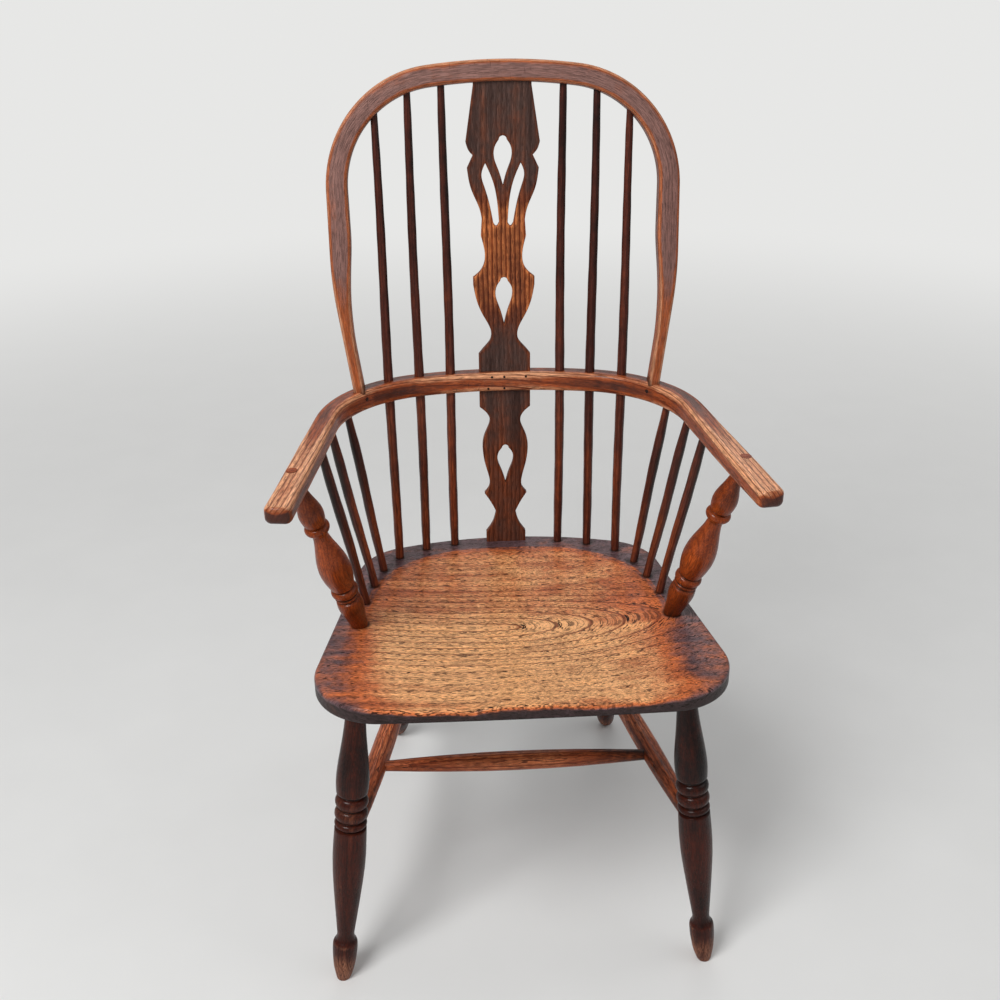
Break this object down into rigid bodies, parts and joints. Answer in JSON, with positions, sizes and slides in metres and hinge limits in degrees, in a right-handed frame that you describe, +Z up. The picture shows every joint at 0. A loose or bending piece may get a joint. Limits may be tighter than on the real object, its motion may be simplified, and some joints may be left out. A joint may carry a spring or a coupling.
{
  "type": "windsor armchair",
  "caption": "High-back windsor armchair with a saddled seat, bent bows, pierced splat, spindles and turned legs joined by an H stretcher.",
  "frame": {"origin": "on the floor, under the middle of the whole chair's bounding box", "axes": "+Z up, +Y to the back of the chair, so the chair faces -Y; +X to the sitter's left"},
  "size_m": [0.5278, 0.5438, 1.0592],
  "materials": {
    "arm_wood": "worn, waxed and stained",
    "bow_wood": "worn, waxed and stained",
    "leg_wood": "worn, waxed and stained",
    "peg_wood": "worn, waxed and stained",
    "pin_wood": "worn, waxed and stained",
    "seat_wood": "worn, waxed and stained",
    "splat_wood": "worn, waxed and stained",
    "stick_wood": "worn, waxed and stained",
    "stretcher_wood": "worn, waxed and stained",
    "support_wood": "worn, waxed and stained",
    "wedge_wood": "worn, waxed and stained"
  },
  "bodies": {
    "root": {"arm_bow": "arm_wood", "arm_support_left": "support_wood", "arm_support_right": "support_wood", "arm_support_wedges": "wedge_wood", "bow_tenon_pegs": "peg_wood", "cross_stretcher": "stretcher_wood", "leg_front_left": "leg_wood", "leg_front_right": "leg_wood", "leg_rear_left": "leg_wood", "leg_rear_right": "leg_wood", "long_stick_left_inner": "stick_wood", "long_stick_left_middle": "stick_wood", "long_stick_left_outer": "stick_wood", "long_stick_right_inner": "stick_wood", "long_stick_right_middle": "stick_wood", "long_stick_right_outer": "stick_wood", "lower_splat": "splat_wood", "seat": "seat_wood", "short_stick_left_front": "stick_wood", "short_stick_left_middle": "stick_wood", "short_stick_left_rear": "stick_wood", "short_stick_right_front": "stick_wood", "short_stick_right_middle": "stick_wood", "short_stick_right_rear": "stick_wood", "side_stretcher_left": "stretcher_wood", "side_stretcher_right": "stretcher_wood", "splat_pins": "pin_wood", "top_bow": "bow_wood", "upper_splat": "splat_wood"}
  },
  "joints": []
}
